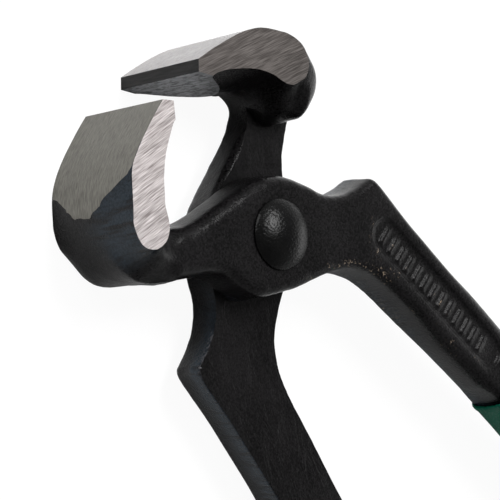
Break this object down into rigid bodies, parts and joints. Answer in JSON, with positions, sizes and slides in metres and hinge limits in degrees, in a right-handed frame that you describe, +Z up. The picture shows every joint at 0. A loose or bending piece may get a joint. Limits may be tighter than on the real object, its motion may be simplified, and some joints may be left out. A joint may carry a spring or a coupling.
{
  "type": "end cutting nippers",
  "caption": "Forged end cutting nippers in the carpenters' pincers pattern: wide curved jaws, crossed levers on a domed rivet, sunk ribbed panel, dipped green grips.",
  "frame": {"origin": "the middle of the bounding box's bottom face, on the surface the tool lies on", "axes": "+Y from the grips towards the cutting edges, +Z up along the rivet, +X to the right seen from above with the jaws away from the viewer"},
  "size_m": [0.0792, 0.2222, 0.022],
  "materials": {
    "lever": "satin black lacquer over forged steel, with the jaws' faces and bevels ground bright",
    "rivet": "satin black lacquer over a peened steel rivet",
    "grip": "glossy dark green dipped plastic"
  },
  "bodies": {
    "front": {"front_lever": "lever", "pivot_rivet": "rivet", "front_grip": "grip"},
    "rear": {"rear_lever": "lever", "rear_grip": "grip"}
  },
  "joints": [
    {"name": "jaw_pivot", "type": "hinge", "parent": "front", "child": "rear", "pos_m": [0, 0.07577, 0.011], "axis": [0, 0, -1], "range_deg": [-13.3, 41]}
  ]
}
